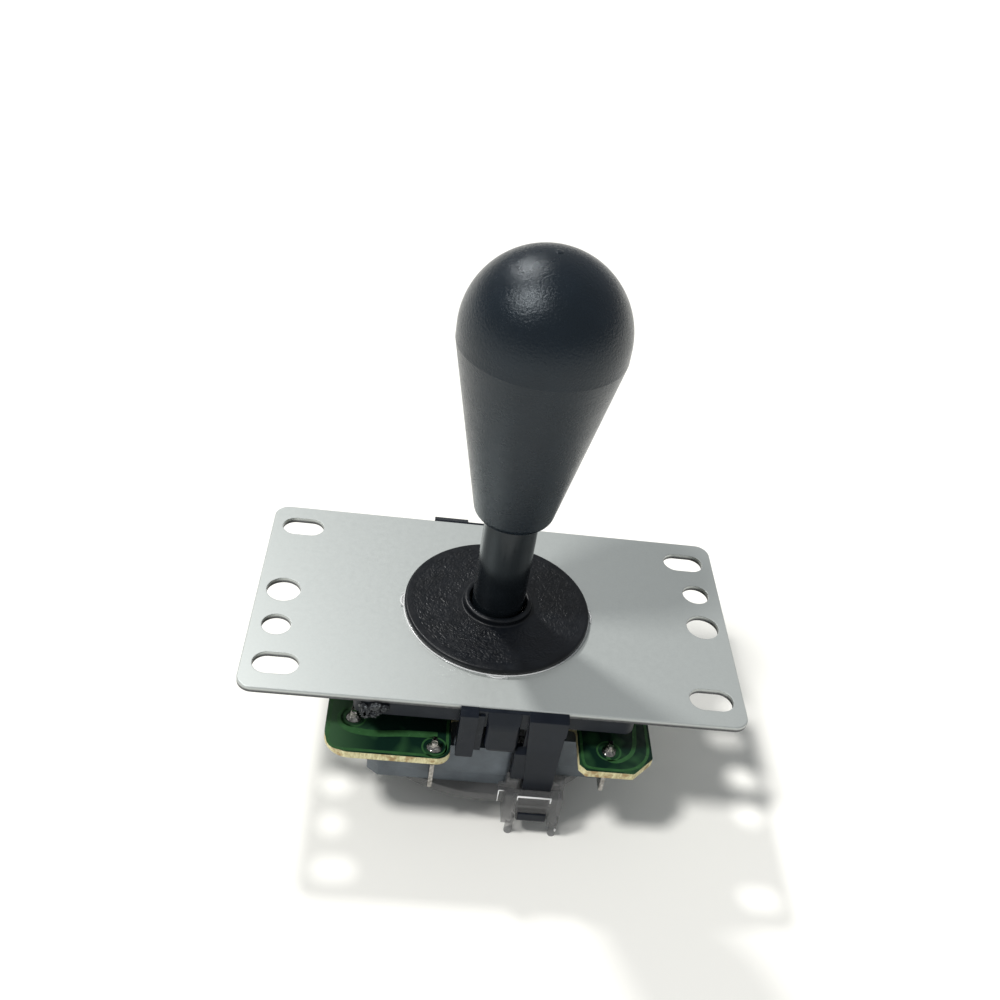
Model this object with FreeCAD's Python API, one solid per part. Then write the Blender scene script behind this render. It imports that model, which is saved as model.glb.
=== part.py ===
"""Arcade joystick lever: a bat-topped lever on a flat mounting plate.

Frame: the origin is the centre of the plate's top face, on the lever's axis. +Z points up out of the
panel, +X along the plate's long side and +Y to the back. All sizes are in millimetres.
"""
import FreeCAD, Part
import math
import os

Vector = FreeCAD.Vector
Z_AXIS = Vector(0, 0, 1)
ORIGIN = Vector(0, 0, 0)

# Lever motion
tilt_limit_deg = 8.5
pivot_z = -5.5

# Clearances
running_clearance = 0.05
sliding_clearance = 0.1
loose_clearance = 0.2
gate_clearance = 0.1

# Mounting plate
plate_length = 95.0
plate_depth = 53.0
plate_thickness = 1.2
plate_corner_radius = 3.0
plate_edge_break = 0.2
slot_inset_x = 6.45
slot_inset_y = 6.5
slot_length = 8.6
slot_width = 5.4
slot_end_flat = 0.0001
side_hole_inset = 5.1
large_hole_diameter = 6.7
small_hole_diameter = 5.6
small_hole_offset = 9.9
plate_bore_diameter = 26.0

# Screws that hold the plate to the body
screw_circle_radius = 16.0
screw_diameter = 3.0
screw_head_diameter = 5.5
screw_head_height = 1.9
screw_tip_depth = 0.2

# Body flange, skirt and hub
flange_half_width = 26.2
flange_thickness = 3.1
flange_setback = 0.1
flange_corner_radius = 2.0
spigot_drop = 0.1
skirt_half_width = 20.5
skirt_corner_radius = 5.0
skirt_wall = 1.8
hub_wall = 2.2
rib_thickness = 1.4
rib_angles = (0, 30, 60)
rib_foot_gap = 1.0
board_top_z = -10.0
seat_recess_depth = 0.4

# Pivot ball and its cup
ball_radius = 7.0
ball_top_rise = 4.0
ball_bottom_drop = 2.8
cup_drop = 4.0

# Legs and tabs of the body, described for the front edge
leg_thickness = 2.1
leg_plate_gap = 0.05
leg_top_z = -0.15
leg_shoulder_z = -0.6
leg_shoulder_round = 0.3
leg_tip_round = 0.5
leg_root_depth = 2.6
latch_leg_left = 6.0
latch_leg_right = 13.35
latch_leg_step = 0.25
latch_leg_tip_left = 7.2
latch_leg_tip_right = 12.65
latch_leg_tip_z = -29.0
latch_leg_tip_taper = 0.4
barb_top_z = -25.0
barb_reach = 1.65
barb_height = 2.0
barb_edge_round = 0.2
barb_corner_round = 0.4
short_leg_left = -6.6
short_leg_right = -3.3
short_leg_tip_z = -11.9
short_leg_corner = 0.8
short_leg_rib = 1.3
short_leg_rib_setback = 0.9
short_leg_rib_inset = 1.4
short_leg_rib_tip_z = -10.5
tongue_left = -1.5
tongue_right = 4.7
tongue_tip_z = -10.3
tongue_corner = 2.7
tongue_thickness = 1.9
tongue_edge_round = 0.9
tongue_belly_z = -3.4
tongue_belly_round = 4.0
tongue_tip_round = 1.2
guide_rib_left = 4.6
guide_rib_right = 7.3
guide_rib_tip_z = -17.0
guide_rib_inset = 0.05
guide_rib_setback = 0.25
guide_rib_step_z = -9.0
guide_rib_round = 1.1
rail_thickness = 0.8
rail_top_z = -0.3

# Shaft and its cover
shaft_radius = 4.0
shaft_thread_radius = 2.95
shaft_thread_length = 12.0
shaft_lower_radius = 3.0
shaft_tip_length = 1.0
shaft_chamfer = 0.5
shaft_slot_width = 1.2
shaft_slot_depth = 1.2
cover_radius = 5.2
cover_end_gap = 0.1

# Bat-shaped grip
grip_bottom_z = 24.4
grip_neck_radius = 7.7
grip_seam_z = 60.8
grip_dome_z = 62.97
grip_dome_radius = 14.88
grip_bottom_round = 2.1
grip_bottom_turn_deg = 78.0
insert_radius = 4.0
insert_length = 14.0
insert_groove_depth = 0.5
insert_groove_width = 1.6

# Dust washer and slip film
film_thickness = 0.25
film_radius = 18.7
film_bore_radius = 6.9
film_nub_reach = 0.45
film_nub_width = 4.0
film_nub_count = 4
washer_radius = 18.55
washer_thickness = 1.3
washer_edge_round = 0.5
washer_foot_chamfer = 0.15
washer_bore_clearance = 0.5
washer_collar_wall = 1.15
washer_collar_height = 1.4
washer_collar_root = 0.35

# Spring, its seat, the actuator and the retaining clip
seat_inner_radius = 4.2
seat_outer_radius = 6.6
seat_thickness = 1.4
spring_wire_diameter = 1.0
spring_mean_radius = 5.2
spring_turns = 4.0
spring_section_sides = 6
spring_end_gap = 0.02
actuator_radius = 8.4
actuator_top_z = -13.1
actuator_full_z = -18.0
actuator_taper_z = -23.0
actuator_lower_radius = 4.75
actuator_bottom_z = -29.5
actuator_bore_radius = 6.4
actuator_floor_z = -19.5
actuator_rim_chamfer = 0.4
clip_thickness = 0.8
clip_outer_radius = 5.4
clip_ring_width = 1.7
clip_groove_radius = 2.45
clip_mouth_width = 4.4
clip_tooth_width = 2.0
clip_tooth_angles = (70, 180, 290)

# Circuit board
board_thickness = 1.6
board_margin = 8.1
board_bore_radius = 10.6
board_notch_left = -7.5
board_notch_right = 16.75
board_notch_depth = 10.8
board_left_round = 5.0
board_notch_round = 2.6
board_notch_inner_round = 1.0
board_right_chamfer = 4.0
board_right_round = 0.8
board_edge_chamfer = 1.3

# Microswitches: sizes of one, placed for the front side
switch_length = 27.8
switch_height = 15.9
switch_base_width = 7.3
switch_cover_width = 3.0
switch_inner_y = -10.3
switch_right_end = 4.9
switch_corner_radius = 1.2
switch_chamfer_x = 2.2
switch_chamfer_y = 1.6
switch_chamfer_round = 0.5
switch_hole_radius = 1.55
switch_hole_inset = 2.8
switch_cover_reveal = 0.2
plunger_radius = 1.4
plunger_length = 7.0
plunger_dome_radius = 2.2
plunger_rest_gap = 0.1
plunger_travel = 1.67
plunger_end_room = 0.4
blade_thickness = 0.8
blade_width = 6.4
blade_embed = 1.2
blade_reach = 3.3
com_blade_reach = 4.4
lead_width = 1.0
lead_rise = 2.4
contact_blade_inset = 12.4
contact_lead_reach = 2.1
com_blade_inset = 12.3
com_lead_reach = 3.0
solder_radius = 1.2
solder_top_radius = 0.7
solder_height = 1.9

# Connector header with five pins
header_pin_count = 5
header_pin_pitch = 2.5
header_pin_size = 0.64
header_length = 13.8
header_height = 5.6
header_gap = 0.9
header_depth = 7.7
header_back_wall = 1.6
header_wall = 1.1
header_center_y = 12.7
header_pin_end_gap = 1.2
header_key_width = 1.6

# Gate: clear moulding under the switches
floor_z = -32.0
gate_disc_reach = 2.05
gate_disc_thickness = 2.0
gate_disc_bore_radius = 9.9
gate_plate_thickness = 2.5
gate_tower_half = 11.6
gate_tower_inner_half = 10.1
gate_tower_round = 3.0
gate_window_round = 1.0
gate_post_width = 2.2
gate_loop_reach = 1.95
gate_loop_room_left = 0.9
gate_loop_room_right = 0.4
gate_crossbar_lip = 3.1
gate_crossbar_thickness = 1.2
gate_post_top_z = -17.2
gate_crossbar_top_z = -19.5
gate_post_bottom_z = -28.3
gate_post_round = 1.0
gate_post_shoulder_round = 0.6
gate_shelf_round = 0.5
gate_foot_radius = 0.8
gate_foot_setback = 1.6
gate_foot_left = 6.1
gate_foot_right = 14.8
gate_web_width = 1.2
gate_web_top_z = -20.4
gate_peg_clearance = 0.1
gate_peg_height = 4.0

# Places that follow from the sizes above
tilt_limit = math.radians(tilt_limit_deg)
plate_bottom_z = -plate_thickness
slot_spacing_x = plate_length - 2 * slot_inset_x
slot_spacing_y = plate_depth - 2 * slot_inset_y
side_hole_spacing = plate_length - 2 * side_hole_inset
flange_bottom_z = plate_bottom_z - flange_thickness
board_bottom_z = board_top_z - board_thickness
switch_split_z = board_bottom_z - switch_base_width
switch_bottom_z = switch_split_z - switch_cover_width
switch_middle_z = (board_bottom_z + switch_bottom_z) / 2
switch_outer_y = switch_inner_y - switch_height
switch_left_end = switch_right_end - switch_length
contact_blade_x = switch_left_end + contact_blade_inset
contact_lead_y = switch_outer_y - contact_lead_reach
com_blade_y = switch_inner_y - com_blade_inset
com_lead_x = switch_left_end - com_lead_reach
board_half_width = board_margin - switch_left_end
header_back_x = header_gap - switch_left_end
header_mouth_x = header_back_x + header_depth
cup_radius = ball_radius + running_clearance
hub_radius = cup_radius + hub_wall
ball_top_z = pivot_z + ball_top_rise
ball_bottom_z = pivot_z - ball_bottom_drop
cup_bottom_z = pivot_z - cup_drop
cup_bottom_radius = math.sqrt(cup_radius ** 2 - cup_drop ** 2)
seat_top_z = board_top_z + seat_recess_depth
seat_bottom_z = seat_top_z - seat_thickness
leg_inner = plate_depth / 2 + leg_plate_gap
leg_outer = leg_inner + leg_thickness
cover_top_z = grip_bottom_z
cover_bottom_z = ball_top_z + cover_end_gap
washer_bore_radius = cover_radius + washer_bore_clearance
washer_top_z = film_thickness + washer_thickness
collar_radius = washer_bore_radius + washer_collar_wall
clip_bottom_z = actuator_bottom_z - clip_thickness
shaft_bottom_z = clip_bottom_z - shaft_tip_length
shaft_bore_radius = shaft_lower_radius + running_clearance
plunger_tip_y = -(actuator_radius + plunger_rest_gap)
gate_top_z = switch_bottom_z
gate_disc_radius = leg_inner + gate_disc_reach
gate_loop_front = leg_outer + gate_loop_reach
gate_disc_bottom_z = gate_top_z - gate_disc_thickness
gate_plate_bottom_z = gate_disc_bottom_z - gate_plate_thickness
gate_window_half = (actuator_lower_radius / math.cos(tilt_limit)
                    + (pivot_z - gate_plate_bottom_z) * math.tan(tilt_limit) + gate_clearance)
loop_inner_left = latch_leg_tip_left - gate_loop_room_left
loop_inner_right = latch_leg_tip_right + gate_loop_room_right
crossbar_back = leg_outer + loose_clearance
crossbar_bottom_z = barb_top_z


def turned(shape, degrees):
    """A copy of a shape, turned about the lever's axis."""
    copy = shape.copy()
    copy.rotate(ORIGIN, Z_AXIS, degrees)
    return copy


def moved(shape, x, y, z):
    """A copy of a shape, moved by x, y and z."""
    copy = shape.copy()
    copy.translate(Vector(x, y, z))
    return copy


def cylinder(radius, low, high, x=0.0, y=0.0):
    """An upright cylinder between two heights."""
    return Part.makeCylinder(radius, high - low, Vector(x, y, low))


def ring(outer, inner, low, high):
    """An upright tube between two heights."""
    return cylinder(outer, low, high).cut(cylinder(inner, low, high))


def block(x_low, x_high, y_low, y_high, z_low, z_high):
    """A box between six faces."""
    return Part.makeBox(x_high - x_low, y_high - y_low, z_high - z_low, Vector(x_low, y_low, z_low))


def rounded_face(corners):
    """A flat face in XY from corners (x, y, radius), each corner rounded by its radius."""
    count = len(corners)
    arcs = []
    for index in range(count):
        before = Vector(*corners[index - 1][:2])
        here = Vector(*corners[index][:2])
        after = Vector(*corners[(index + 1) % count][:2])
        radius = corners[index][2]
        if radius == 0:
            arcs.append((here, None, here))
            continue
        back = (before - here).normalize()
        ahead = (after - here).normalize()
        half_angle = back.getAngle(ahead) / 2
        reach = radius / math.tan(half_angle)
        middle = (back + ahead).normalize()
        centre_distance = radius / math.sin(half_angle)
        arcs.append((here + back * reach, here + middle * (centre_distance - radius), here + ahead * reach))
    edges = []
    for index in range(count):
        start, middle, end = arcs[index]
        following = arcs[(index + 1) % count][0]
        if middle is not None:
            edges.append(Part.Arc(start, middle, end).toShape())
        if end.distanceToPoint(following) > 1e-6:
            edges.append(Part.LineSegment(end, following).toShape())
    return Part.Face(Part.Wire(edges))


def prism(corners, low, high):
    """A rounded XY outline, raised between two heights."""
    return moved(rounded_face(corners).extrude(Vector(0, 0, high - low)), 0, 0, low)


def rectangle(half_x, half_y, radius):
    """Corners of a centred rectangle with one corner radius."""
    return [(-half_x, -half_y, radius), (half_x, -half_y, radius),
            (half_x, half_y, radius), (-half_x, half_y, radius)]


def front_panel(corners, inner, outer):
    """An XZ outline, given depth from inner to outer, both measured forward from the lever's axis."""
    shape = rounded_face(corners).extrude(Vector(0, 0, outer - inner))
    shape.rotate(ORIGIN, Vector(1, 0, 0), 90)
    return moved(shape, 0, -inner, 0)


def side_panel(corners, left, right):
    """An outline of (forward distance, height, radius), given width from left to right."""
    mirrored = [(-forward, height, radius) for forward, height, radius in corners]
    shape = rounded_face(mirrored).extrude(Vector(0, 0, right - left))
    shape.rotate(ORIGIN, Vector(1, 1, 1), 120)
    return moved(shape, left, 0, 0)


def revolved(points):
    """A full turn of a closed outline of (radius, height) points about the lever's axis."""
    corners = [Vector(radius, 0, height) for radius, height in points]
    return Part.Face(Part.makePolygon(corners + corners[:1])).revolve(ORIGIN, Z_AXIS, 360)


def slot_cutter(x, y, length, width, low, high):
    """A round-ended slot along X."""
    half = length / 2
    round_end = width / 2 - slot_end_flat
    corners = [(x - half, y - width / 2, round_end), (x + half, y - width / 2, round_end),
               (x + half, y + width / 2, round_end), (x - half, y + width / 2, round_end)]
    return prism(corners, low, high)


def four_corners(half_x, half_y):
    """The four corner points of a centred rectangle."""
    return [(x, y) for x in (-half_x, half_x) for y in (-half_y, half_y)]


def screw_places():
    """Centres of the four plate screws."""
    reach = screw_circle_radius / math.sqrt(2)
    return four_corners(reach, reach)


def make_mounting_plate():
    """Flat sheet with four corner slots, two large and two small round holes and a central bore."""
    plate = prism(rectangle(plate_length / 2, plate_depth / 2, plate_corner_radius), plate_bottom_z, 0)
    top_edges = [edge for edge in plate.Edges if edge.BoundBox.ZMin > plate_bottom_z / 2]
    plate = plate.makeChamfer(plate_edge_break, top_edges)
    for x, y in four_corners(slot_spacing_x / 2, slot_spacing_y / 2):
        plate = plate.cut(slot_cutter(x, y, slot_length, slot_width, plate_bottom_z, 0))
    for side in (-1, 1):
        x = side * side_hole_spacing / 2
        plate = plate.cut(cylinder(large_hole_diameter / 2, plate_bottom_z, 0, x, 0))
        plate = plate.cut(cylinder(small_hole_diameter / 2, plate_bottom_z, 0, x, side * small_hole_offset))
    for x, y in screw_places():
        plate = plate.cut(cylinder(screw_diameter / 2, plate_bottom_z, 0, x, y))
    return plate.cut(cylinder(plate_bore_diameter / 2, plate_bottom_z, 0))


def make_plate_screws():
    """Four pan-head screws, driven up through the flange into the plate."""
    head_z = flange_bottom_z - screw_head_height
    screws = []
    for x, y in screw_places():
        shank = cylinder(screw_diameter / 2, flange_bottom_z, -screw_tip_depth, x, y)
        head = cylinder(screw_head_diameter / 2, head_z, flange_bottom_z, x, y)
        screws.append(shank.fuse(head))
    return Part.makeCompound(screws)


def make_latch_leg():
    """Long leg with a barb that the gate's loop snaps over, tapered to its tip."""
    side = side_panel([
        (leg_inner, leg_top_z, 0), (leg_inner + leg_thickness / 4, leg_top_z, 0),
        (leg_outer, leg_shoulder_z, leg_shoulder_round), (leg_outer, barb_top_z, 0),
        (leg_outer + barb_reach, barb_top_z, barb_edge_round),
        (leg_outer + barb_reach, barb_top_z - barb_height, barb_corner_round),
        (leg_outer - latch_leg_tip_taper, latch_leg_tip_z, leg_shoulder_round),
        (leg_inner, latch_leg_tip_z, 0), (leg_inner, flange_bottom_z, 0),
        (leg_inner - leg_root_depth, flange_bottom_z, 0),
        (leg_inner - leg_root_depth, plate_bottom_z, 0), (leg_inner, plate_bottom_z, 0),
    ], latch_leg_left, latch_leg_right)
    front = front_panel([
        (latch_leg_left, 0, 0), (latch_leg_tip_left, guide_rib_tip_z, 0),
        (latch_leg_tip_left, latch_leg_tip_z, leg_tip_round),
        (latch_leg_tip_right, latch_leg_tip_z, leg_tip_round),
        (latch_leg_right - latch_leg_step, flange_bottom_z, 0),
        (latch_leg_right, flange_bottom_z, 0), (latch_leg_right, 0, 0),
    ], leg_inner - leg_root_depth, leg_outer + barb_reach)
    return side.common(front)


def leg_side(tip_z, thickness):
    """Side outline of a short leg that locates the plate's edge."""
    outer = leg_inner + thickness
    return [
        (leg_inner, leg_top_z, 0), (leg_inner + thickness / 4, leg_top_z, 0),
        (outer, leg_shoulder_z, leg_shoulder_round), (outer, tip_z, leg_tip_round),
        (leg_inner, tip_z, 0), (leg_inner, flange_bottom_z, 0),
        (leg_inner - leg_root_depth, flange_bottom_z, 0), (leg_inner - leg_root_depth, plate_bottom_z, 0),
        (leg_inner, plate_bottom_z, 0),
    ]


def make_short_leg():
    """Short leg beside the board's notch, with a set-back rib along it."""
    side = side_panel(leg_side(short_leg_tip_z, leg_thickness), short_leg_left, short_leg_right)
    front = front_panel([
        (short_leg_left, 0, 0), (short_leg_left, short_leg_tip_z, short_leg_corner),
        (short_leg_right, short_leg_tip_z, short_leg_corner), (short_leg_right, 0, 0),
    ], leg_inner - leg_root_depth, leg_outer)
    rib = block(short_leg_right, short_leg_right + short_leg_rib, -leg_outer + short_leg_rib_setback,
                -leg_inner + short_leg_rib_inset, short_leg_rib_tip_z, plate_bottom_z)
    return side.common(front).fuse(rib)


def make_tongue():
    """Round-ended tongue between the legs."""
    outer = leg_inner + tongue_thickness
    side = side_panel([
        (leg_inner, rail_top_z, 0), (leg_inner + rail_thickness, rail_top_z, 0),
        (outer, tongue_belly_z, tongue_belly_round), (outer, tongue_tip_z, tongue_tip_round),
        (leg_inner, tongue_tip_z, 0), (leg_inner, flange_bottom_z, 0),
        (leg_inner - leg_root_depth, flange_bottom_z, 0), (leg_inner - leg_root_depth, plate_bottom_z, 0),
        (leg_inner, plate_bottom_z, 0),
    ], tongue_left, tongue_right)
    front = front_panel([
        (tongue_left, 0, 0), (tongue_left, tongue_tip_z, tongue_corner),
        (tongue_right, tongue_tip_z, tongue_corner), (tongue_right, 0, 0),
    ], leg_inner - leg_root_depth, outer)
    plan = prism([
        (tongue_left, -outer, tongue_edge_round), (tongue_right, -outer, tongue_edge_round),
        (tongue_right, -leg_inner + leg_root_depth, 0), (tongue_left, -leg_inner + leg_root_depth, 0),
    ], tongue_tip_z, 0)
    return side.common(front).common(plan)


def make_guide_rib():
    """Rib beside the latch leg, standing over the gate's post."""
    inner = leg_inner - guide_rib_inset
    outer = leg_outer - guide_rib_setback
    side = side_panel([
        (inner, plate_bottom_z, 0), (leg_inner + rail_thickness, plate_bottom_z, 0),
        (leg_inner + rail_thickness, guide_rib_step_z, 0),
        (outer, guide_rib_step_z - guide_rib_round, 0), (outer, guide_rib_tip_z, 0),
        (inner, guide_rib_tip_z, 0),
    ], guide_rib_left, guide_rib_right)
    front = front_panel([
        (guide_rib_left, guide_rib_tip_z, 0), (guide_rib_right, guide_rib_tip_z, 0), (guide_rib_right, 0, 0),
        (latch_leg_left, 0, 0), (latch_leg_left, guide_rib_step_z, 0),
        (guide_rib_left, guide_rib_step_z, guide_rib_round),
    ], inner, outer)
    return side.common(front)


def make_front_rail():
    """Low rail along the plate's edge, from the short leg to the latch leg."""
    outer = leg_inner + rail_thickness
    return side_panel([
        (leg_inner, rail_top_z, 0), (outer, rail_top_z, 0), (outer, flange_bottom_z, 0),
        (leg_inner - leg_root_depth, flange_bottom_z, 0), (leg_inner - leg_root_depth, plate_bottom_z, 0),
        (leg_inner, plate_bottom_z, 0),
    ], short_leg_left + short_leg_corner, latch_leg_right - latch_leg_step)


def make_body():
    """Moulded body: flange, spigot, hub with the ball's cup, skirt, ribs, legs and tongues."""
    half_depth = plate_depth / 2 - flange_setback
    body = prism(rectangle(flange_half_width, half_depth, flange_corner_radius),
                 flange_bottom_z, plate_bottom_z)
    body = body.fuse(cylinder(plate_bore_diameter / 2 - sliding_clearance, flange_bottom_z, -spigot_drop))
    outer = prism(rectangle(skirt_half_width, skirt_half_width, skirt_corner_radius),
                  board_top_z, flange_bottom_z)
    inner_half = skirt_half_width - skirt_wall
    inner = prism(rectangle(inner_half, inner_half, skirt_corner_radius - skirt_wall),
                  board_top_z, flange_bottom_z)
    body = body.fuse(outer.cut(inner))
    body = body.fuse(cylinder(hub_radius, board_top_z, flange_bottom_z))
    rib = block(hub_radius - hub_wall / 2, skirt_half_width, -rib_thickness / 2, rib_thickness / 2,
                board_top_z + rib_foot_gap, flange_bottom_z)
    for quarter in range(4):
        for angle in rib_angles:
            body = body.fuse(turned(rib, quarter * 90 + angle).common(outer))
    for half_turn in (0, 180):
        for piece in (make_front_rail(), make_latch_leg(), make_short_leg(), make_tongue(), make_guide_rib()):
            body = body.fuse(turned(piece, half_turn))
    cup = Part.makeSphere(cup_radius, Vector(0, 0, pivot_z))
    cup = cup.cut(cylinder(cup_radius, pivot_z - cup_radius, cup_bottom_z))
    body = body.cut(cylinder(cup_radius, pivot_z, 0)).cut(cup)
    body = body.cut(cylinder(cup_bottom_radius, board_top_z, cup_bottom_z))
    body = body.cut(cylinder(seat_outer_radius + sliding_clearance, board_top_z, seat_top_z))
    screw_way = screw_diameter / 2 + sliding_clearance
    for x, y in screw_places():
        body = body.cut(cylinder(screw_way, flange_bottom_z, plate_bottom_z, x, y))
    return body.removeSplitter()


def make_pivot_ball():
    """Nylon ball, flat at both ends, bored for the shaft."""
    ball = Part.makeSphere(ball_radius, Vector(0, 0, pivot_z))
    ball = ball.common(cylinder(ball_radius, ball_bottom_z, ball_top_z))
    return ball.cut(cylinder(shaft_bore_radius, ball_bottom_z, ball_top_z))


def make_shaft():
    """Turned steel shaft: threaded top, shoulder on the ball, clip groove and slotted end."""
    thread_top = grip_bottom_z + shaft_thread_length
    shaft = revolved([
        (0, shaft_bottom_z), (shaft_lower_radius - shaft_chamfer, shaft_bottom_z),
        (shaft_lower_radius, shaft_bottom_z + shaft_chamfer), (shaft_lower_radius, clip_bottom_z),
        (clip_groove_radius, clip_bottom_z), (clip_groove_radius, actuator_bottom_z),
        (shaft_lower_radius, actuator_bottom_z), (shaft_lower_radius, ball_top_z), (shaft_radius, ball_top_z),
        (shaft_radius, grip_bottom_z), (shaft_thread_radius, grip_bottom_z),
        (shaft_thread_radius, thread_top - shaft_chamfer), (shaft_thread_radius - shaft_chamfer, thread_top),
        (0, thread_top),
    ])
    slot = block(-shaft_lower_radius, shaft_lower_radius, -shaft_slot_width / 2, shaft_slot_width / 2,
                 shaft_bottom_z, shaft_bottom_z + shaft_slot_depth)
    return shaft.cut(slot)


def make_shaft_cover():
    """Tube over the shaft, up to the grip."""
    return ring(cover_radius, shaft_radius, cover_bottom_z, cover_top_z)


def make_grip():
    """Bat-shaped grip: dome over a long cone, rounded at its foot, hollow for the insert."""
    crown_height = grip_dome_z + grip_dome_radius
    slant = grip_dome_radius * math.sqrt(0.5)
    equator = Vector(grip_dome_radius, 0, grip_dome_z)
    dome = Part.Arc(equator, Vector(slant, 0, grip_dome_z + slant), Vector(0, 0, crown_height)).toShape()
    turn = math.radians(grip_bottom_turn_deg)
    foot_x = grip_neck_radius - grip_bottom_round * math.sin(turn)
    foot_points = []
    for angle in (0, turn / 2, turn):
        foot_points.append(Vector(foot_x + grip_bottom_round * math.sin(angle), 0,
                                  grip_bottom_z + grip_bottom_round * (1 - math.cos(angle))))
    foot = Part.Arc(*foot_points).toShape()
    centre = [Vector(0, 0, crown_height), Vector(0, 0, grip_bottom_z), foot_points[0]]
    flank = [foot_points[-1], Vector(grip_dome_radius, 0, grip_seam_z), equator]
    edges = [Part.LineSegment(centre[i], centre[i + 1]).toShape() for i in range(2)] + [foot]
    edges += [Part.LineSegment(flank[i], flank[i + 1]).toShape() for i in range(2)] + [dome]
    grip = Part.Face(Part.Wire(edges)).revolve(ORIGIN, Z_AXIS, 360)
    return grip.cut(cylinder(insert_radius, grip_bottom_z, grip_bottom_z + insert_length))


def make_grip_insert():
    """Brass insert moulded into the grip, with a groove that keys it."""
    low = grip_bottom_z
    high = low + insert_length
    insert = ring(insert_radius, shaft_thread_radius + running_clearance, low, high)
    groove_low = (low + high - insert_groove_width) / 2
    groove_high = groove_low + insert_groove_width
    return insert.cut(ring(insert_radius, insert_radius - insert_groove_depth, groove_low, groove_high))


def make_slip_film():
    """Thin film under the washer, with small nubs round its edge."""
    film = cylinder(film_radius, 0, film_thickness)
    nub = block(0, film_radius + film_nub_reach, -film_nub_width / 2, film_nub_width / 2, 0, film_thickness)
    for index in range(film_nub_count):
        film = film.fuse(turned(nub, index * 360 / film_nub_count))
    return film.cut(cylinder(film_bore_radius, 0, film_thickness)).removeSplitter()


def make_dust_washer():
    """Round washer with a rounded edge and a raised collar round the shaft cover."""
    collar_top = washer_top_z + washer_collar_height
    collar_round = washer_collar_wall / 4
    edge_cut = washer_edge_round * (1 - math.sqrt(0.5))
    return revolved([
        (washer_bore_radius, film_thickness), (washer_radius - washer_foot_chamfer, film_thickness),
        (washer_radius, film_thickness + washer_foot_chamfer),
        (washer_radius, washer_top_z - washer_edge_round),
        (washer_radius - edge_cut, washer_top_z - edge_cut),
        (washer_radius - washer_edge_round, washer_top_z), (collar_radius + washer_collar_root, washer_top_z),
        (collar_radius, washer_top_z + washer_collar_root), (collar_radius, collar_top - collar_round),
        (collar_radius - collar_round, collar_top), (washer_bore_radius + collar_round, collar_top),
        (washer_bore_radius, collar_top - collar_round),
    ])


def make_spring_seat():
    """Nylon ring in the body's recess that the spring pushes against."""
    return ring(seat_outer_radius, seat_inner_radius, seat_bottom_z, seat_top_z)


def make_spring():
    """Centring spring: a helix of wire between its seat and the actuator's floor."""
    wire_radius = spring_wire_diameter / 2
    low = actuator_floor_z + wire_radius + spring_end_gap
    high = seat_bottom_z - wire_radius - spring_end_gap
    pitch = (high - low) / spring_turns
    path = Part.makeHelix(pitch, high - low, spring_mean_radius)
    section = []
    for side in range(spring_section_sides + 1):
        angle = 2 * math.pi * (side + 0.5) / spring_section_sides
        radius = spring_mean_radius + wire_radius * math.cos(angle)
        section.append(Vector(radius, 0, wire_radius * math.sin(angle)))
    section[-1] = section[0]
    coil = Part.Wire(path).makePipeShell([Part.makePolygon(section)], True, True)
    return moved(coil, 0, 0, low)


def make_actuator():
    """Nylon actuator: a cup round the spring that presses the switches, and a stem for the gate."""
    chamfer = actuator_rim_chamfer
    return revolved([
        (shaft_bore_radius, actuator_bottom_z), (actuator_lower_radius - chamfer, actuator_bottom_z),
        (actuator_lower_radius, actuator_bottom_z + chamfer), (actuator_lower_radius, actuator_taper_z),
        (actuator_radius, actuator_full_z), (actuator_radius, actuator_top_z - chamfer),
        (actuator_radius - chamfer, actuator_top_z), (actuator_bore_radius, actuator_top_z),
        (actuator_bore_radius, actuator_floor_z), (shaft_bore_radius, actuator_floor_z),
    ])


def make_e_clip():
    """Retaining clip: an open ring with three teeth in the shaft's groove."""
    inner = clip_outer_radius - clip_ring_width
    clip = ring(clip_outer_radius, inner, clip_bottom_z, actuator_bottom_z)
    clip = clip.cut(block(0, clip_outer_radius, -clip_mouth_width / 2, clip_mouth_width / 2,
                          clip_bottom_z, actuator_bottom_z))
    tooth = block(clip_groove_radius - clip_thickness / 2, inner + clip_ring_width / 2, -clip_tooth_width / 2,
                  clip_tooth_width / 2, clip_bottom_z, actuator_bottom_z)
    for angle in clip_tooth_angles:
        clip = clip.fuse(turned(tooth, angle))
    groove = cylinder(clip_groove_radius + running_clearance, clip_bottom_z, actuator_bottom_z)
    return clip.cut(groove).removeSplitter()


def front_lead_places():
    """Centres of the front switch's two leads on the board."""
    return [(contact_blade_x, contact_lead_y), (com_lead_x, com_blade_y)]


def header_pin_places():
    """Y positions of the header's pins."""
    first = header_center_y - header_pin_pitch * (header_pin_count - 1) / 2
    return [first + index * header_pin_pitch for index in range(header_pin_count)]


def header_lead_x():
    """X of the row where the header's pins pass the board."""
    return header_back_x + header_back_wall / 2


def make_circuit_board():
    """Board with a bore for the actuator and a notch at the front and back for the legs."""
    half = board_half_width
    notch_y = half - board_notch_depth
    front = [
        (-half, -half, board_left_round), (board_notch_left, -half, board_notch_round),
        (board_notch_left, -notch_y, board_notch_inner_round),
        (board_notch_right, -notch_y, board_notch_inner_round),
        (board_notch_right, -half + board_edge_chamfer, 0),
        (board_notch_right + board_edge_chamfer, -half, 0),
        (half - board_right_chamfer, -half, board_right_round),
        (half, -half + board_right_chamfer, board_right_round),
    ]
    back = [(-x, -y, radius) for x, y, radius in front]
    board = prism(front + back, board_bottom_z, board_top_z)
    board = board.cut(cylinder(board_bore_radius, board_bottom_z, board_top_z))
    blades = make_switch_blades()
    for quarter in range(4):
        board = board.cut(turned(blades, quarter * 90))
    return board.cut(make_header_pins())


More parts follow.
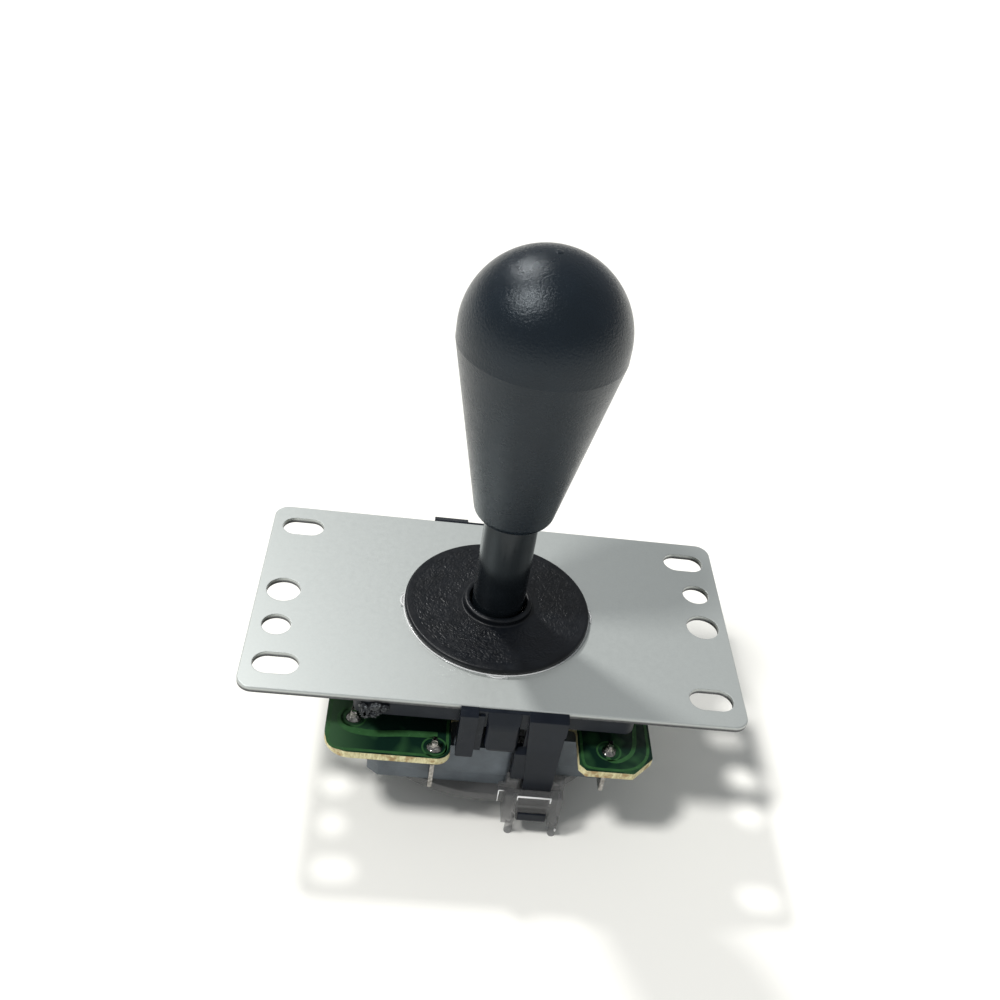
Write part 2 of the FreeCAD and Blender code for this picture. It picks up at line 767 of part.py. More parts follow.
def switch_outline(low, high, inset):
    """A switch's outline between two heights, drawn in by an inset."""
    left = switch_left_end + inset
    right = switch_right_end - inset
    outer = switch_outer_y + inset
    inner = switch_inner_y - inset
    radius = switch_corner_radius
    return prism([
        (left + switch_chamfer_x, outer, switch_chamfer_round), (right, outer, radius),
        (right, inner, radius), (left, inner, radius), (left, outer + switch_chamfer_y, switch_chamfer_round),
    ], low, high)


def switch_hole_places():
    """Centres of the two fixing holes through a switch."""
    return [(switch_left_end + switch_hole_inset, switch_inner_y - switch_hole_inset),
            (switch_right_end - switch_hole_inset, switch_outer_y + switch_hole_inset)]


def make_contact_blade():
    """Upright blade out of the switch's outer face, with a lead up through the board."""
    top = switch_middle_z + blade_width / 2
    outline = [
        (-switch_outer_y - blade_embed, top), (-contact_lead_y - lead_width / 2, top),
        (-contact_lead_y - lead_width / 2, board_top_z + lead_rise),
        (-contact_lead_y + lead_width / 2, board_top_z + lead_rise),
        (-contact_lead_y + lead_width / 2, top), (-switch_outer_y + blade_reach, top),
        (-switch_outer_y + blade_reach, top - blade_width),
        (-switch_outer_y - blade_embed, top - blade_width),
    ]
    left = contact_blade_x - blade_thickness / 2
    return side_panel([(forward, height, 0) for forward, height in outline], left, left + blade_thickness)


def make_common_blade():
    """Upright blade out of the switch's left end, with a lead up through the board."""
    top = switch_middle_z + blade_width / 2
    outline = [
        (switch_left_end + blade_embed, top), (com_lead_x + lead_width / 2, top),
        (com_lead_x + lead_width / 2, board_top_z + lead_rise),
        (com_lead_x - lead_width / 2, board_top_z + lead_rise),
        (com_lead_x - lead_width / 2, top), (switch_left_end - com_blade_reach, top),
        (switch_left_end - com_blade_reach, top - blade_width),
        (switch_left_end + blade_embed, top - blade_width),
    ]
    inner = -com_blade_y - blade_thickness / 2
    return front_panel([(x, height, 0) for x, height in outline], inner, inner + blade_thickness)


def make_switch_blades():
    """Both terminals of the front switch."""
    return Part.makeCompound([make_contact_blade(), make_common_blade()])


def make_switch():
    """One microswitch at the front side: its base, cover, plunger and terminals."""
    blades = make_switch_blades()
    base = switch_outline(switch_split_z, board_bottom_z, 0)
    cover = switch_outline(switch_bottom_z, switch_split_z, switch_cover_reveal)
    for x, y in switch_hole_places():
        base = base.cut(cylinder(switch_hole_radius, switch_split_z, board_bottom_z, x, y))
        cover = cover.cut(cylinder(switch_hole_radius, switch_bottom_z, switch_split_z, x, y))
    base = base.cut(blades)
    cover = cover.cut(blades)
    outward = Vector(0, -1, 0)
    guide_length = -plunger_tip_y + plunger_length + plunger_travel + plunger_end_room + switch_inner_y
    base = base.cut(Part.makeCylinder(plunger_radius + sliding_clearance, guide_length,
                                      Vector(0, switch_inner_y, switch_middle_z), outward))
    tip = Vector(0, plunger_tip_y, switch_middle_z)
    pin = Part.makeCylinder(plunger_radius, plunger_length, tip, outward)
    dome_centre = Vector(0, plunger_tip_y - plunger_dome_radius, switch_middle_z)
    dome = Part.makeSphere(plunger_dome_radius, dome_centre)
    rest = Part.makeCylinder(plunger_radius, plunger_length - plunger_dome_radius, dome_centre, outward)
    plunger = pin.common(dome.fuse(rest))
    return {"switch_base": base, "switch_cover": cover, "plunger": plunger.removeSplitter(),
            "switch_terminals": blades}


def make_header_pins():
    """Five bent pins: up through the board at the back, out towards the mouth in front."""
    half = header_pin_size / 2
    middle_z = board_bottom_z - header_height / 2
    x = header_lead_x()
    pins = []
    for y in header_pin_places():
        upright = block(x - half, x + half, y - half, y + half, middle_z - half, board_top_z + lead_rise)
        level = block(x - half, header_mouth_x - header_pin_end_gap, y - half, y + half,
                      middle_z - half, middle_z + half)
        pins.append(upright.fuse(level).removeSplitter())
    return Part.makeCompound(pins)


def make_header_housing():
    """Header housing under the board, open towards +X, with a key slot in its lower wall."""
    low = board_bottom_z - header_height
    half = header_length / 2
    housing = block(header_back_x, header_mouth_x, header_center_y - half, header_center_y + half,
                    low, board_bottom_z)
    mouth = block(header_back_x + header_back_wall, header_mouth_x, header_center_y - half + header_wall,
                  header_center_y + half - header_wall, low + header_wall, board_bottom_z - header_wall)
    housing = housing.cut(mouth)
    for side in (-1, 1):
        key_y = header_center_y + side * header_pin_pitch - header_key_width / 2
        housing = housing.cut(block(header_back_x + header_back_wall + header_key_width, header_mouth_x,
                                    key_y, key_y + header_key_width, low, low + header_wall))
    return housing.cut(make_header_pins())


def make_solder_joints():
    """Solder cones round the leads and pins on the board's top face."""
    cone = Part.makeCone(solder_radius, solder_top_radius, solder_height)
    blades = make_switch_blades()
    pins = make_header_pins()
    joints = []
    for x, y in front_lead_places():
        joint = moved(cone, x, y, board_top_z).cut(blades)
        joints += [turned(joint, quarter * 90) for quarter in range(4)]
    for y in header_pin_places():
        joints.append(moved(cone, header_lead_x(), y, board_top_z).cut(pins))
    return Part.makeCompound(joints)


def make_gate_loop():
    """Snap loop at the front: two posts beside the latch leg, a crossbar before it and two feet."""
    left_posts = loop_inner_left - gate_post_width
    right_posts = loop_inner_right + gate_post_width
    pieces = []
    for left, right, foot_x in ((left_posts, loop_inner_left, gate_foot_left),
                                (loop_inner_right, right_posts, gate_foot_right)):
        side = side_panel([
            (leg_inner + loose_clearance, gate_post_top_z, 0),
            (leg_outer, gate_post_top_z, gate_post_shoulder_round), (leg_outer, gate_crossbar_top_z, 0),
            (gate_loop_front, gate_crossbar_top_z, gate_shelf_round),
            (gate_loop_front, gate_post_bottom_z, gate_post_round),
            (leg_inner + loose_clearance, gate_post_bottom_z, 0),
            (leg_inner, gate_disc_bottom_z - gate_post_round, 0),
            (leg_inner - leg_root_depth, gate_disc_bottom_z, 0),
            (leg_inner - leg_root_depth, gate_top_z, 0), (leg_inner + loose_clearance, gate_top_z, 0),
        ], left, right)
        front = front_panel([
            (left, gate_post_bottom_z, gate_post_round), (right, gate_post_bottom_z, gate_post_round),
            (right, gate_post_top_z, 0), (left, gate_post_top_z, 0),
        ], leg_inner - leg_root_depth, gate_loop_front)
        foot = cylinder(gate_foot_radius, floor_z, gate_post_bottom_z + gate_post_round, foot_x,
                        -gate_loop_front + gate_foot_setback)
        pieces += [side.common(front), foot]
    pieces.append(block(loop_inner_left, loop_inner_right, -gate_loop_front, -crossbar_back,
                        gate_crossbar_top_z - gate_crossbar_lip, gate_crossbar_top_z))
    pieces.append(block(loop_inner_left, loop_inner_right, -crossbar_back - gate_crossbar_thickness,
                        -crossbar_back, crossbar_bottom_z, gate_crossbar_top_z))
    pieces.append(block(left_posts - gate_web_width, left_posts, -leg_outer, -leg_inner,
                        gate_disc_bottom_z, gate_web_top_z))
    loop = pieces[0]
    for piece in pieces[1:]:
        loop = loop.fuse(piece)
    return loop


def make_gate():
    """Clear gate: a disc under the switches, a square tower round the window, snap loops, feet and pegs."""
    gate = cylinder(gate_disc_radius, gate_disc_bottom_z, gate_top_z)
    tower = prism(rectangle(gate_tower_half, gate_tower_half, gate_tower_round), floor_z, gate_top_z)
    gate = gate.fuse(tower)
    leg_way = block(loop_inner_left, loop_inner_right, -gate_disc_radius, -leg_inner + loose_clearance,
                    gate_disc_bottom_z, gate_top_z)
    peg_radius = switch_hole_radius - gate_peg_clearance
    x, y = switch_hole_places()[1]
    peg = cylinder(peg_radius, gate_top_z, gate_top_z + gate_peg_height, x, y)
    for half_turn in (0, 180):
        gate = gate.cut(turned(leg_way, half_turn))
    for half_turn in (0, 180):
        gate = gate.fuse(turned(make_gate_loop(), half_turn))
    for quarter in range(4):
        gate = gate.fuse(turned(peg, quarter * 90))
    gate = gate.cut(cylinder(gate_disc_bore_radius, gate_disc_bottom_z, gate_top_z))
    gate = gate.cut(prism(rectangle(gate_window_half, gate_window_half, gate_window_round),
                          gate_plate_bottom_z, gate_disc_bottom_z))
    gate = gate.cut(prism(rectangle(gate_tower_inner_half, gate_tower_inner_half,
                                    gate_tower_round - gate_tower_half + gate_tower_inner_half),
                          floor_z, gate_plate_bottom_z))
    return gate.removeSplitter()


def make_nodes():
    """All sub-parts by node name."""
    nodes = {
        "mounting_plate": make_mounting_plate(),
        "plate_screws": make_plate_screws(),
        "body": make_body(),
        "pivot_ball": make_pivot_ball(),
        "shaft": make_shaft(),
        "shaft_cover": make_shaft_cover(),
        "grip": make_grip(),
        "grip_insert": make_grip_insert(),
        "slip_film": make_slip_film(),
        "dust_washer": make_dust_washer(),
        "spring_seat": make_spring_seat(),
        "spring": make_spring(),
        "actuator": make_actuator(),
        "e_clip": make_e_clip(),
        "circuit_board": make_circuit_board(),
        "header_housing": make_header_housing(),
        "header_pins": make_header_pins(),
        "solder_joints": make_solder_joints(),
        "gate": make_gate(),
    }
    for name, shape in make_switch().items():
        for quarter, side in enumerate(("front", "right", "back", "left")):
            nodes[f"{name}_{side}"] = turned(shape, quarter * 90)
    return nodes


os.makedirs("parts", exist_ok=True)
for node_name, node_shape in make_nodes().items():
    node_shape.exportStep(f"parts/{node_name}.step")
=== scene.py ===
"""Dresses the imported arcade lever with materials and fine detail, and sets its camera and light.

Lengths are in metres, in the same frame as the CAD: the origin is the centre of the plate's top face.
The lists of points among the values below, and the widths in them, are in millimetres and are scaled
where they are used.
"""
import math
import random

import bmesh
import bpy
from mathutils import Matrix, Vector, noise


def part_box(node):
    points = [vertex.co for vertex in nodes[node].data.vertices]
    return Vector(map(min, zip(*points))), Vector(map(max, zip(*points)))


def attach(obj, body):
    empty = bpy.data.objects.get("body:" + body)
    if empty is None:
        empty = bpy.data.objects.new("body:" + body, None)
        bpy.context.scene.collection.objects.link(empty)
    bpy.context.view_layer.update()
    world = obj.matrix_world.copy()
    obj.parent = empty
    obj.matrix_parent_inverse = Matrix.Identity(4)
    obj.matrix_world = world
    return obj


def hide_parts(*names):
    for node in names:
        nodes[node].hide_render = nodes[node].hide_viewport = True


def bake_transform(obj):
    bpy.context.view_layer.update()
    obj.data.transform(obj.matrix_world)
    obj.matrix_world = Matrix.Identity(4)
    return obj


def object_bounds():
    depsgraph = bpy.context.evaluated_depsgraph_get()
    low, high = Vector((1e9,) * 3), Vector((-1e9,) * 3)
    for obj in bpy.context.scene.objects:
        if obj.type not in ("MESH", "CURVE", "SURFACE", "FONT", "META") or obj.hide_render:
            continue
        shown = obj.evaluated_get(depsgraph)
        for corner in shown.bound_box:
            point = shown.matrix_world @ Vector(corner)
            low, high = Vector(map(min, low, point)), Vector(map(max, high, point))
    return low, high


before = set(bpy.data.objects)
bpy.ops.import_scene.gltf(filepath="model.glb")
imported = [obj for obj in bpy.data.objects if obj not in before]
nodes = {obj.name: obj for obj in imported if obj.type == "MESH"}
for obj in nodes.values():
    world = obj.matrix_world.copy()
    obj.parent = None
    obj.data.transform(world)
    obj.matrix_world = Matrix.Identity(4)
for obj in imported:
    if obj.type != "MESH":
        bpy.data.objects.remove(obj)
cad_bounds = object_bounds()
switch_sides = ("front", "right", "back", "left")
mm = 0.001

# Camera, fitted to the plate's holes and edges in the photograph
camera_target = Vector((1.01, 36.14, 0.0)) * mm
camera_distance = 255.7 * mm
camera_azimuth = math.radians(-6.16)
camera_elevation = math.radians(36.87)
camera_roll = math.radians(9.40)
camera_lens = 40.68
camera_sensor = 36.0
camera_nearest = 0.01

# Light: two keys from the left, one from behind and one from in front
back_key = {"direction": Vector((-0.45, 0.66, 1.0)), "strength": 1.62, "angle": 0.10}
front_key = {"direction": Vector((-0.54, -0.25, 1.0)), "strength": 2.25, "angle": 0.16}
key_colour = (1.0, 0.995, 0.98)
sky_colour = (0.93, 0.97, 1.0, 1.0)
sky_strength = 0.36

# Floor
floor_half = 6.0
floor_colour = (0.925, 0.912, 0.868)

# Tint of the gloss on the dark plastics
cool_gloss = (0.86, 0.94, 1.0, 1.0)

# Dust washer
washer_thickness = 1.3 * mm
washer_edge_round = 0.5 * mm
washer_foot = 0.15 * mm
washer_bore = 5.7 * mm
washer_collar = 6.85 * mm
washer_collar_root = 0.35 * mm
washer_collar_crown = 0.6
washer_edge_steps = 8
washer_root_steps = 6
washer_collar_steps = 12

# Leather grain on the washer's top: its mesh, its edges, and the sizes and shares of its creases and lumps
grain_seed = 7
grain_rings = 130
grain_spokes = 600
grain_border = 1.5 * mm
grain_collar_gap = 0.9 * mm
grain_inner_fade = 0.9 * mm
grain_outer_fade = 0.3 * mm
grain_height = 0.12 * mm
grain_level = 0.7
grain_warp = 0.7 * mm
grain_warp_size = 1.3 * mm
crease_size = 0.70 * mm
crease_sharpness = 3.2
crease_share = 0.6
lump_size = 0.38 * mm
lump_share = 0.4
calm_size = 3.5 * mm
calm_mean = 0.75
calm_spread = 0.6
flat_tolerance = 0.02 * mm

# Heights between which the plate's sheared edge turns from a near-black lower part, partly the rough fracture
# and partly painted shade, to the smooth zinc
fracture_and_shade_band = (-0.80 * mm, -0.40 * mm)

# Mark on the grip's crown
mark_radius = 0.8 * mm
mark_height = 0.12 * mm
mark_sink = 0.02 * mm
mark_segments = 16
mark_rings = 8

# Border and loops of the slip film
film_loop_radius = 0.75 * mm
film_loop_stretch = 2.1
film_loop_wire = 0.12 * mm
film_loop_sink = 0.1 * mm
film_loop_steps = 18
film_border_round = 0.09 * mm
film_border_width = 0.60 * mm
film_border_reach = 0.17 * mm
film_border_drop = 0.005 * mm
film_border_steps = 6
film_border_spokes = 240

# Centring spring; the bends are heights along it, and it is cut into two pieces at the second
spring_radius = 5.2 * mm
spring_wire = 0.5 * mm
spring_turns = 4
spring_steps = 48
spring_sides = 12
spring_bends = (-11.3 * mm, -12.5 * mm, -13.4 * mm)

# Copper under the mask: half of the border's corners, and the runs with their widths
trace_height = 0.035 * mm
trace_sink = 0.01 * mm
trace_border_width = 0.55 * mm
trace_border = [(-30.35, -30.35), (-8.1, -30.35), (-8.1, -19.6), (17.4, -19.6), (17.4, -29.2), (18.5, -30.35),
                (26.75, -30.35), (30.35, -26.75)]
trace_runs = [
    ([(-27.4, -20.6), (-28.6, -23.2), (-26.9, -25.7), (-21.7, -26.3), (-16.7, -25.6), (-10.0, -25.4)], 1.5),
    ([(-27.6, 10.0), (-27.6, -8.0), (-26.3, -10.5), (-24.0, -12.0)], 0.8),
    ([(22.6, -25.9), (22.2, -28.2), (24.5, -28.4), (27.6, -25.8), (28.3, -18.0), (28.3, -10.5)], 0.8),
]
# Span along x over which the mask turns a lighter green towards the board's left end: painted light, where
# that end is less shaded
lit_end_span = (-30.0 * mm, -21.0 * mm)
pad_ring_radius = 2.25 * mm
pad_ring_width = 0.35 * mm
pad_ring_steps = 32
corner_reach = 3.0 * mm
corner_share = 0.45
corner_steps = 6

# Solder joints; the outline gives shares of reach and height, from the wetted foot up to the lead
solder_reach = 1.5 * mm
solder_height = 2.05 * mm
solder_spacing = 2.4 * mm
solder_spokes = 20
solder_outline = [(1.0, -0.005), (0.93, 0.06), (0.74, 0.20), (0.56, 0.42),
                  (0.44, 0.68), (0.35, 0.90), (0.20, 1.0)]
solder_wobble = 0.10
solder_wobble_scale = 0.9

# Painted highlights on one of the gate's loops: bright lines where its edges catch glints, each with the
# radius of its line
gate_glint_paths = {
    "crossbar": ([(6.4, -30.55, -19.6), (12.95, -30.55, -19.6)], 0.17),
    "crossbar_left_end": ([(6.45, -30.6, -19.6), (6.45, -30.6, -20.5)], 0.12),
    "crossbar_right_end": ([(12.85, -30.6, -19.6), (12.85, -30.6, -20.8)], 0.15),
    "bowl_step": ([(2.95, -28.65, -20.5), (2.95, -28.65, -23.6)], 0.12),
    "bowl_step_top": ([(2.95, -28.65, -20.5), (3.9, -28.65, -20.5)], 0.10),
    "right_foot": ([(15.25, -29.65, -29.7), (15.25, -29.65, -30.3)], 0.22),
}

# Lump of flash: limits, in millimetres, for the places of its grains along each axis and for their sizes
flash_seed = 7
flash_grains = 22
flash_places = ((-24.6, -19.9), (-26.85, -26.3), (-4.3, -1.6))
flash_sizes = (0.4, 0.95)
flash_front = -27.4 * mm
flash_rough_size = 0.35 * mm
flash_rough_share = 0.45

# Sockets of the colour mix node, by number
mix_factor = 0
mix_first = 6
mix_second = 7
mix_result = 2


def make_camera():
    """Creates the camera at the photograph's viewing angle."""
    back = Vector((math.sin(camera_azimuth) * math.cos(camera_elevation),
                   -math.cos(camera_azimuth) * math.cos(camera_elevation), math.sin(camera_elevation)))
    right = Vector((0, 0, 1)).cross(back).normalized()
    up = back.cross(right)
    rolled_right = right * math.cos(camera_roll) + up * math.sin(camera_roll)
    rolled_up = up * math.cos(camera_roll) - right * math.sin(camera_roll)
    data = bpy.data.cameras.new("camera")
    data.lens = camera_lens
    data.sensor_width = camera_sensor
    data.sensor_fit = "HORIZONTAL"
    data.clip_start = camera_nearest
    camera = bpy.data.objects.new("camera", data)
    turn = Matrix((rolled_right, rolled_up, back)).transposed()
    camera.matrix_world = Matrix.Translation(camera_target + back * camera_distance) @ turn.to_4x4()
    bpy.context.scene.collection.objects.link(camera)
    bpy.context.scene.camera = camera


def make_sun(name, direction, strength, angle):
    """A distant light that shines from a direction."""
    data = bpy.data.lights.new(name, "SUN")
    data.energy = strength
    data.angle = angle
    data.color = key_colour
    light = bpy.data.objects.new(name, data)
    light.rotation_euler = direction.to_track_quat("Z", "Y").to_euler()
    bpy.context.scene.collection.objects.link(light)


def make_light():
    """Pale sky, the two keys and a plain view transform."""
    world = bpy.data.worlds.new("studio")
    world.use_nodes = True
    background = world.node_tree.nodes["Background"]
    background.inputs["Color"].default_value = sky_colour
    background.inputs["Strength"].default_value = sky_strength
    bpy.context.scene.world = world
    bpy.context.scene.view_settings.view_transform = "Standard"
    make_sun("back_key", **back_key)
    make_sun("front_key", **front_key)


class Shader:
    """A material under construction: a principled shader and the nodes that feed it."""

    def __init__(self, name, colour, roughness, metallic=0.0):
        self.material = bpy.data.materials.new(name)
        self.material.use_nodes = True
        self.tree = self.material.node_tree
        self.principled = self.tree.nodes["Principled BSDF"]
        self.colour = colour
        self.roughness = roughness
        self.set("Base Color", (*colour, 1.0))
        self.set("Roughness", roughness)
        self.set("Metallic", metallic)
        self.place = self.tree.nodes.new("ShaderNodeTexCoord").outputs["Object"]
        self.normal = None

    def set(self, socket, value):
        """Sets one of the shader's own sockets."""
        self.principled.inputs[socket].default_value = value

    def node(self, kind, settings=None, **sockets):
        """Adds a node, with socket values or links by name."""
        node = self.tree.nodes.new(kind)
        for key, value in (settings or {}).items():
            setattr(node, key, value)
        for key, value in sockets.items():
            socket = node.inputs[key.replace("_", " ")]
            if isinstance(value, bpy.types.NodeSocket):
                self.tree.links.new(value, socket)
            else:
                socket.default_value = value
        return node

    def link(self, output, socket):
        """Feeds one of the shader's sockets."""
        self.tree.links.new(output, self.principled.inputs[socket])

    def stretched(self, scale):
        """The surface's place, stretched by a scale along each axis."""
        return self.node("ShaderNodeMapping", Vector=self.place, Scale=scale).outputs["Vector"]

    def cloud(self, size, detail=4.0, roughness=0.55, distortion=0.0, place=None):
        """Noise between 0 and 1 with features of about a size."""
        return self.node("ShaderNodeTexNoise", Vector=place or self.place, Scale=1.0 / size, Detail=detail,
                         Roughness=roughness, Distortion=distortion).outputs["Fac"]

    def span(self, value, low, high, start=0.3, end=0.7):
        """A value between start and end, carried over to low and high."""
        return self.node("ShaderNodeMapRange", Value=value, From_Min=start, From_Max=end,
                         To_Min=low, To_Max=high).outputs["Result"]

    def mixed(self, factor, first, second):
        """Two colours, or colour sockets, mixed by a factor's socket."""
        mix = self.node("ShaderNodeMix", {"data_type": "RGBA"})
        self.tree.links.new(factor, mix.inputs[mix_factor])
        for index, value in ((mix_first, first), (mix_second, second)):
            if isinstance(value, bpy.types.NodeSocket):
                self.tree.links.new(value, mix.inputs[index])
            else:
                mix.inputs[index].default_value = (*value, 1.0)
        return mix.outputs[mix_result]

    def mottle(self, size, amount, spread=0.07):
        """Clouds the colour darker and lighter by a share, and the roughness by a spread."""
        colour_cloud = self.cloud(size)
        dark = tuple(part * (1.0 - amount) for part in self.colour)
        light = tuple(min(1.0, part * (1.0 + amount)) for part in self.colour)
        self.link(self.mixed(self.span(colour_cloud, 0.0, 1.0), dark, light), "Base Color")
        gloss_cloud = self.cloud(size * 0.45)
        self.link(self.span(gloss_cloud, self.roughness - spread, self.roughness + spread), "Roughness")

    def round_edges(self, radius):
        """Softens sharp edges in shading."""
        self.normal = self.node("ShaderNodeBevel", {"samples": 4}, Radius=radius).outputs["Normal"]
        self.link(self.normal, "Normal")

    def facing_up(self, start=0.4, end=0.6):
        """0 on upright faces, 1 on level ones."""
        normal = self.node("ShaderNodeNewGeometry").outputs["Normal"]
        upright = self.node("ShaderNodeSeparateXYZ", Vector=normal).outputs["Z"]
        level = self.node("ShaderNodeMath", {"operation": "ABSOLUTE"})
        self.tree.links.new(upright, level.inputs[0])
        return self.span(level.outputs["Value"], 0.0, 1.0, start, end)

    def bump(self, height, depth, strength=1.0):
        """Raises the surface by a height value times a depth."""
        node = self.node("ShaderNodeBump", Height=height, Distance=depth, Strength=strength)
        if self.normal is not None:
            self.tree.links.new(self.normal, node.inputs["Normal"])
        self.normal = node.outputs["Normal"]
        self.link(self.normal, "Normal")


def zinc_plate():
    """Bright zinc, faintly grained; the lower part of its sheared edges is painted near-black, partly for the
    rough fracture and partly as painted shade.
    """
    shader = Shader("zinc_plate", (0.49, 0.515, 0.50), 0.44, 0.62)
    grain = shader.span(shader.cloud(0.5 * mm), 0.0, 1.0)
    skin = shader.mixed(grain, (0.480, 0.505, 0.492), (0.500, 0.525, 0.512))
    # Near-black colour of the edges' lower part: partly the rough fracture, partly painted shade on edge
    # faces turned away from the lights
    rough = shader.mixed(shader.cloud(0.8 * mm), (0.03, 0.03, 0.032), (0.14, 0.145, 0.15))
    height = shader.node("ShaderNodeSeparateXYZ", Vector=shader.place).outputs["Z"]
    edge_with_shade = shader.mixed(shader.span(height, 0.0, 1.0, *fracture_and_shade_band), rough, skin)
    shader.link(shader.mixed(shader.facing_up(0.25, 0.45), edge_with_shade, skin), "Base Color")
    shader.link(shader.span(shader.cloud(1.2 * mm), 0.42, 0.47), "Roughness")
    shader.round_edges(0.2 * mm)
    shader.bump(shader.cloud(0.35 * mm), 0.008 * mm, 0.3)
    return shader.material


def grip_plastic():
    """Charcoal grip: satin skin with a fine moulded grain."""
    shader = Shader("grip_plastic", (0.006, 0.010, 0.015), 0.26)
    shader.set("Specular IOR Level", 0.34)
    shader.set("Specular Tint", cool_gloss)
    shader.mottle(6 * mm, 0.15, spread=0.04)
    shader.bump(shader.cloud(0.42 * mm, detail=4.0, roughness=0.62), 0.11 * mm, 0.8)
    return shader.material


def gloss_tube():
    """Glossy black tube with faint lengthwise drawing marks."""
    shader = Shader("gloss_tube", (0.006, 0.008, 0.010), 0.19)
    shader.set("Specular IOR Level", 0.40)
    shader.set("Specular Tint", cool_gloss)
    shader.mottle(4 * mm, 0.2, spread=0.04)
    shader.bump(shader.cloud(0.4 * mm, place=shader.stretched((1.0, 1.0, 0.06))), 0.01 * mm, 0.25)
    return shader.material


def dark_moulding(name, colour, roughness, edge=0.18 * mm, specular=0.32):
    """Dark moulded plastic with a dull sheen, soft edges and flow marks."""
    shader = Shader(name, colour, roughness)
    shader.set("Specular IOR Level", specular)
    shader.set("Specular Tint", cool_gloss)
    shader.mottle(5 * mm, 0.22, spread=0.07)
    shader.round_edges(edge)
    shader.bump(shader.cloud(0.3 * mm, detail=3.0), 0.025 * mm, 0.4)
    shader.bump(shader.cloud(3.5 * mm, detail=2.0, distortion=1.2), 0.05 * mm, 0.18)
    return shader.material


def board_laminate():
    """Circuit board: green mask over copper, painted lighter towards its left end as painted light, and pale
    laminate with brown spots at its cut edges.
    """
    shader = Shader("board_laminate", (0.010, 0.050, 0.022), 0.25)
    shader.set("Specular IOR Level", 0.3)
    patches = shader.span(shader.cloud(4.5 * mm, detail=1.0), 0.0, 1.0, 0.52, 0.66)
    mask = shader.mixed(patches, (0.005, 0.020, 0.013), (0.022, 0.068, 0.028))
    # Painted light: the mask turns a lighter green towards the board's left end
    across = shader.node("ShaderNodeSeparateXYZ", Vector=shader.place).outputs["X"]
    mask = shader.mixed(shader.span(across, 1.0, 0.0, *lit_end_span), mask, (0.036, 0.092, 0.040))
    weave = shader.span(shader.cloud(0.35 * mm, place=shader.stretched((1.0, 1.0, 0.3))), 0.0, 1.0)
    pale = shader.mixed(weave, (0.46, 0.40, 0.20), (0.78, 0.73, 0.46))
    burn = shader.span(shader.cloud(1.6 * mm, detail=3.0), 0.0, 1.0, 0.52, 0.66)
    edge = shader.mixed(burn, pale, (0.36, 0.25, 0.12))
    on_face = shader.facing_up()
    shader.link(shader.mixed(on_face, edge, mask), "Base Color")
    shader.link(shader.span(on_face, 0.75, 0.24, 0.0, 1.0), "Roughness")
    shader.bump(shader.cloud(0.6 * mm), 0.02 * mm, 0.3)
    return shader.material


def trace_mask():
    """Solder mask over copper: a lighter green than the bare laminate under it."""
    shader = Shader("trace_mask", (0.032, 0.100, 0.034), 0.24)
    shader.set("Specular IOR Level", 0.35)
    shader.mottle(1.5 * mm, 0.15, spread=0.04)
    shader.bump(shader.cloud(0.4 * mm), 0.01 * mm, 0.3)
    return shader.material


def solder_tin():
    """Solder and tinned leads: bright, a little wavy."""
    shader = Shader("solder_tin", (0.33, 0.315, 0.295), 0.15, 1.0)
    shader.mottle(0.6 * mm, 0.55, spread=0.08)
    shader.bump(shader.cloud(0.6 * mm, detail=2.0), 0.25 * mm, 0.8)
    return shader.material


def drawn_metal(name, colour, roughness, stretch):
    """Turned or drawn metal with fine marks; a smaller stretch along an axis draws them out along it."""
    shader = Shader(name, colour, roughness, 1.0)
    shader.mottle(3 * mm, 0.1, spread=0.05)
    shader.round_edges(0.08 * mm)
    shader.bump(shader.cloud(0.25 * mm, place=shader.stretched(stretch)), 0.01 * mm, 0.3)
    return shader.material


def brass_insert():
    """Turned brass."""
    return drawn_metal("brass_insert", (0.66, 0.47, 0.20), 0.28, (0.1, 0.1, 1.0))


def clear_plastic(name, tint, alpha, roughness, wave):
    """Clear moulding, made see-through by its alpha, with soft edges and faint flow waves."""
    shader = Shader(name, tint, roughness)
    shader.set("Alpha", alpha)
    shader.set("Specular IOR Level", 1.0)
    shader.link(shader.span(shader.cloud(4 * mm), roughness * 0.5, roughness * 1.6), "Roughness")
    shader.round_edges(0.2 * mm)
    shader.bump(shader.cloud(wave, detail=1.0), 0.03 * mm, 0.2)
    return shader.material


def acetal_white():
    """Waxy white bearing plastic."""
    shader = Shader("acetal_white", (0.78, 0.77, 0.72), 0.4)
    shader.set("Subsurface Weight", 0.1)
    shader.mottle(3 * mm, 0.04)
    shader.bump(shader.cloud(0.3 * mm), 0.01 * mm, 0.3)
    return shader.material


def plain_moulding(name, colour, roughness):
    """Coloured moulded plastic."""
    shader = Shader(name, colour, roughness)
    shader.mottle(2 * mm, 0.08, spread=0.06)
    shader.round_edges(0.1 * mm)
    shader.bump(shader.cloud(0.25 * mm), 0.015 * mm, 0.35)
    return shader.material


def grained_rubber():
    """Washer skin: dull black, unevenly shiny, with a fine tooth."""
    shader = Shader("grained_rubber", (0.004, 0.005, 0.007), 0.38)
    shader.set("Specular IOR Level", 0.25)
    shader.mottle(2.5 * mm, 0.3, spread=0.1)
    shader.bump(shader.cloud(0.3 * mm, detail=3.0), 0.05 * mm, 0.5)
    return shader.material


def floor_card():
    """Pale paper floor with a faint tooth."""
    shader = Shader("floor_card", floor_colour, 0.85)
    shader.mottle(0.4, 0.008, spread=0.03)
    shader.bump(shader.cloud(1.2 * mm), 0.02 * mm, 0.1)
    return shader.material


def paint(names, material):
    """Gives CAD nodes a material."""
    for name in names:
        slots = nodes[name].data.materials
        slots.clear()
        slots.append(material)


